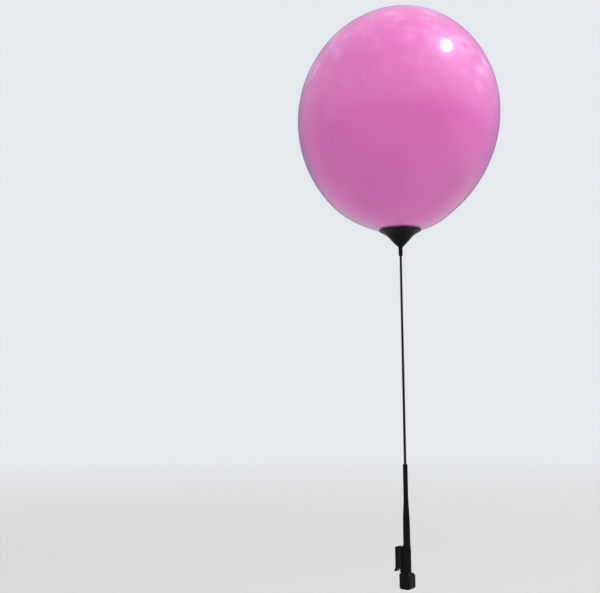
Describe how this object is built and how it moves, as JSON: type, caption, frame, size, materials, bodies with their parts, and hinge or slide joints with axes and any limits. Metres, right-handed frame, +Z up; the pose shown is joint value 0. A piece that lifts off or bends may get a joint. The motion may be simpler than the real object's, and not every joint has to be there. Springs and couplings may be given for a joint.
{
  "type": "car window balloon display",
  "caption": "Large reusable balloon standing in a flared cup on a thin rod, carried by a tapered mast whose clip hooks over the top edge of a car's side window.",
  "frame": {"origin": "middle of the flat underside of the clip's bridge, where it rests on the top edge of the window glass", "axes": "+Z up, -Y towards the outside of the car, +X along the window towards the rear"},
  "size_m": [0.4285, 0.4284, 1.2085],
  "materials": {
    "balloon_vinyl": "glossy pink vinyl film",
    "plug_plastic": "white moulded plastic",
    "cup_plastic": "black moulded plastic, semi-gloss",
    "fibreglass": "black pultruded fibreglass",
    "clip_plastic": "black moulded plastic, satin",
    "pad_rubber": "ribbed black rubber"
  },
  "bodies": {
    "clip": {"clip_body": "clip_plastic", "mast": "clip_plastic", "outer_pad": "pad_rubber", "foot_pad": "pad_rubber", "inner_pad": "pad_rubber"},
    "rod": {"rod": "fibreglass"},
    "cup": {"cup": "cup_plastic"},
    "balloon": {"balloon_envelope": "balloon_vinyl", "balloon_neck": "balloon_vinyl", "balloon_plug": "plug_plastic"}
  },
  "joints": [
    {"name": "rod_lift", "type": "slide", "parent": "clip", "child": "rod", "axis": [0, 0, 1], "range_m": [0, 0.121]},
    {"name": "cup_turn", "type": "hinge", "parent": "rod", "child": "cup", "pos_m": [0, -0.016, 0.61], "axis": [0, 0, 1], "continuous": true},
    {"name": "balloon_lift", "type": "slide", "parent": "cup", "child": "balloon", "axis": [0, 0, 1], "range_m": [0, 0.04]}
  ]
}
